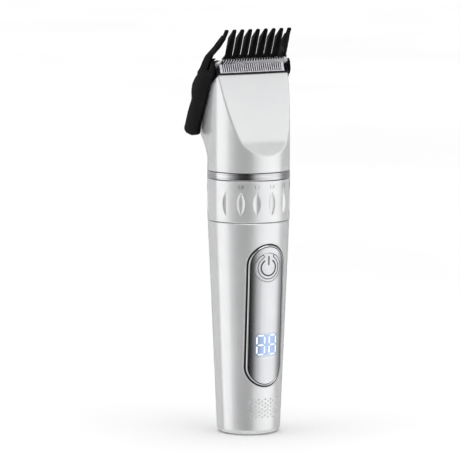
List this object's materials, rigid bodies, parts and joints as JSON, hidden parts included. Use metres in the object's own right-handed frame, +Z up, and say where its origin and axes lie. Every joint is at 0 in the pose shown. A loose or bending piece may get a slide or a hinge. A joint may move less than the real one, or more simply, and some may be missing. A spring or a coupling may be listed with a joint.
{
  "type": "cordless hair clipper",
  "caption": "Upright cordless hair clipper: tapered barrel, oval display panel with power button, fluted length dial, scooped head, toothed blades and a clip-on guide comb.",
  "frame": {"origin": "centre of the flat underside of the base, which the clipper stands on", "axes": "+Z up from the base to the comb tips, -Y is the front with the button and display, +X is the right seen from the front"},
  "size_m": [0.0484, 0.042, 0.1991],
  "materials": {
    "pearl_shell": "pearl white, glossy",
    "pearl_dial": "pearl white, glossy",
    "ring_metal": "brushed, dark silver",
    "bezel_chrome": "polished",
    "mirror_panel": "silver metallised, mirror gloss",
    "button_silver": "silver metallised",
    "display_light": "lit white and blue",
    "socket_steel": "plated",
    "screw_steel": "zinc plated",
    "spring_steel": "bright",
    "shaft_steel": "ground",
    "motor_steel": "drawn can, plated",
    "blade_steel": "ground and polished",
    "blade_ceramic": "satin ceramic",
    "black_plastic": "moulded",
    "frame_black": "moulded",
    "comb_black": "satin moulded",
    "grey_frame": "moulded",
    "cell_wrap": "shrink sleeve",
    "board_green": "solder mask",
    "lead_black": "insulation",
    "lead_red": "insulation",
    "cam_nylon": "natural nylon"
  },
  "bodies": {
    "handle": {"barrel_housing": "pearl_shell", "base_cap": "pearl_shell", "head_housing": "pearl_shell", "trim_ring": "ring_metal", "panel_bezel": "bezel_chrome", "display_panel": "mirror_panel", "button_switch": "black_plastic", "digit_display": "display_light", "charge_socket": "socket_steel", "base_screw": "screw_steel", "charge_board": "board_green", "main_board": "board_green", "control_chip": "black_plastic", "battery_cradle": "grey_frame", "battery_cell": "cell_wrap", "battery_tab_top": "spring_steel", "battery_tab_bottom": "spring_steel", "spine_tube": "grey_frame", "detent_spring": "spring_steel", "motor_can": "motor_steel", "motor_bracket": "grey_frame", "motor_screw_1": "screw_steel", "motor_screw_2": "screw_steel", "motor_lead_1": "lead_black", "motor_lead_2": "lead_red"},
    "dial": {"length_dial": "pearl_dial"},
    "power_key": {"power_button": "button_silver", "switch_plunger": "black_plastic"},
    "rotor": {"motor_shaft": "shaft_steel", "eccentric_cam": "cam_nylon"},
    "pusher": {"taper_pusher": "grey_frame"},
    "blade_head": {"fixed_blade": "blade_steel", "blade_frame": "frame_black", "blade_screw_1": "screw_steel", "blade_screw_2": "screw_steel", "tension_spring_1": "spring_steel", "tension_spring_2": "spring_steel"},
    "taper": {"taper_carrier": "grey_frame"},
    "cutter": {"moving_blade": "blade_ceramic", "drive_fork": "black_plastic"},
    "comb": {"guide_comb": "comb_black"}
  },
  "joints": [
    {"name": "dial_turn", "type": "hinge", "parent": "handle", "child": "dial", "pos_m": [0, 0, 0.1156], "axis": [0, 0, 1], "range_deg": [0, 90]},
    {"name": "power_press", "type": "slide", "parent": "handle", "child": "power_key", "axis": [0, 1, 0], "range_m": [0, 0.0006], "stiffness_N_per_m": 600},
    {"name": "rotor_spin", "type": "hinge", "parent": "handle", "child": "rotor", "pos_m": [0, 0, 0.14], "axis": [0, 0, 1], "continuous": true},
    {"name": "pusher_slide", "type": "slide", "parent": "handle", "child": "pusher", "axis": [0, 0, -1], "range_m": [0, 0.0012]},
    {"name": "blade_hinge", "type": "hinge", "parent": "handle", "child": "blade_head", "pos_m": [0, 0.01575, 0.16156], "axis": [-1, 0, 0], "range_deg": [0, 50]},
    {"name": "taper_slide", "type": "slide", "parent": "blade_head", "child": "taper", "axis": [0, 0.7986, -0.6018], "range_m": [0, 0.0012]},
    {"name": "cutter_stroke", "type": "slide", "parent": "taper", "child": "cutter", "axis": [1, 0, 0], "range_m": [-0.0011, 0.0011]},
    {"name": "comb_slide", "type": "slide", "parent": "blade_head", "child": "comb", "axis": [0, -0.7986, 0.6018], "range_m": [0, 0.06]}
  ],
  "couplings": [
    {"joint": "pusher_slide", "follows": "dial_turn", "m_per_rad": 0.00076},
    {"joint": "taper_slide", "follows": "dial_turn", "m_per_rad": 0.00076}
  ]
}
